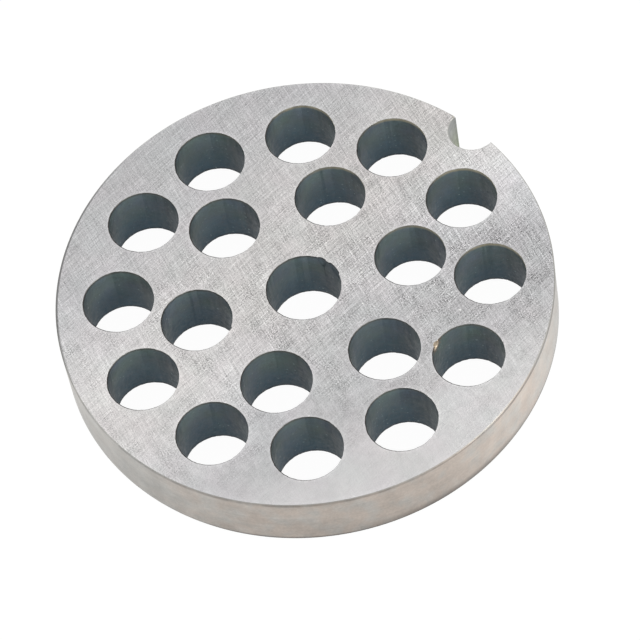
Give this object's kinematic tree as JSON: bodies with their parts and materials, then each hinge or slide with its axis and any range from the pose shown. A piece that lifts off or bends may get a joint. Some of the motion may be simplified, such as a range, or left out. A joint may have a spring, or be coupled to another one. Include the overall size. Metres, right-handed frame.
{
  "type": "meat grinder plate",
  "caption": "Flat round steel plate for a small meat grinder, with two rings of large round perforations, a central bore for the auger pin and a half-round locating notch in its rim.",
  "frame": {"origin": "centre of the bore, on the back face that the plate rests on", "axes": "+Z along the bore from the back face to the cutting face, +Y from the bore towards the locating notch, +X to its right seen from above"},
  "size_m": [0.054, 0.0539, 0.0071],
  "materials": {
    "ground_steel": "flat faces ground in two crossing directions, rim turned satin, hole walls dark with heat-treatment scale"
  },
  "bodies": {
    "root": {"grinder_plate": "ground_steel"}
  },
  "joints": []
}
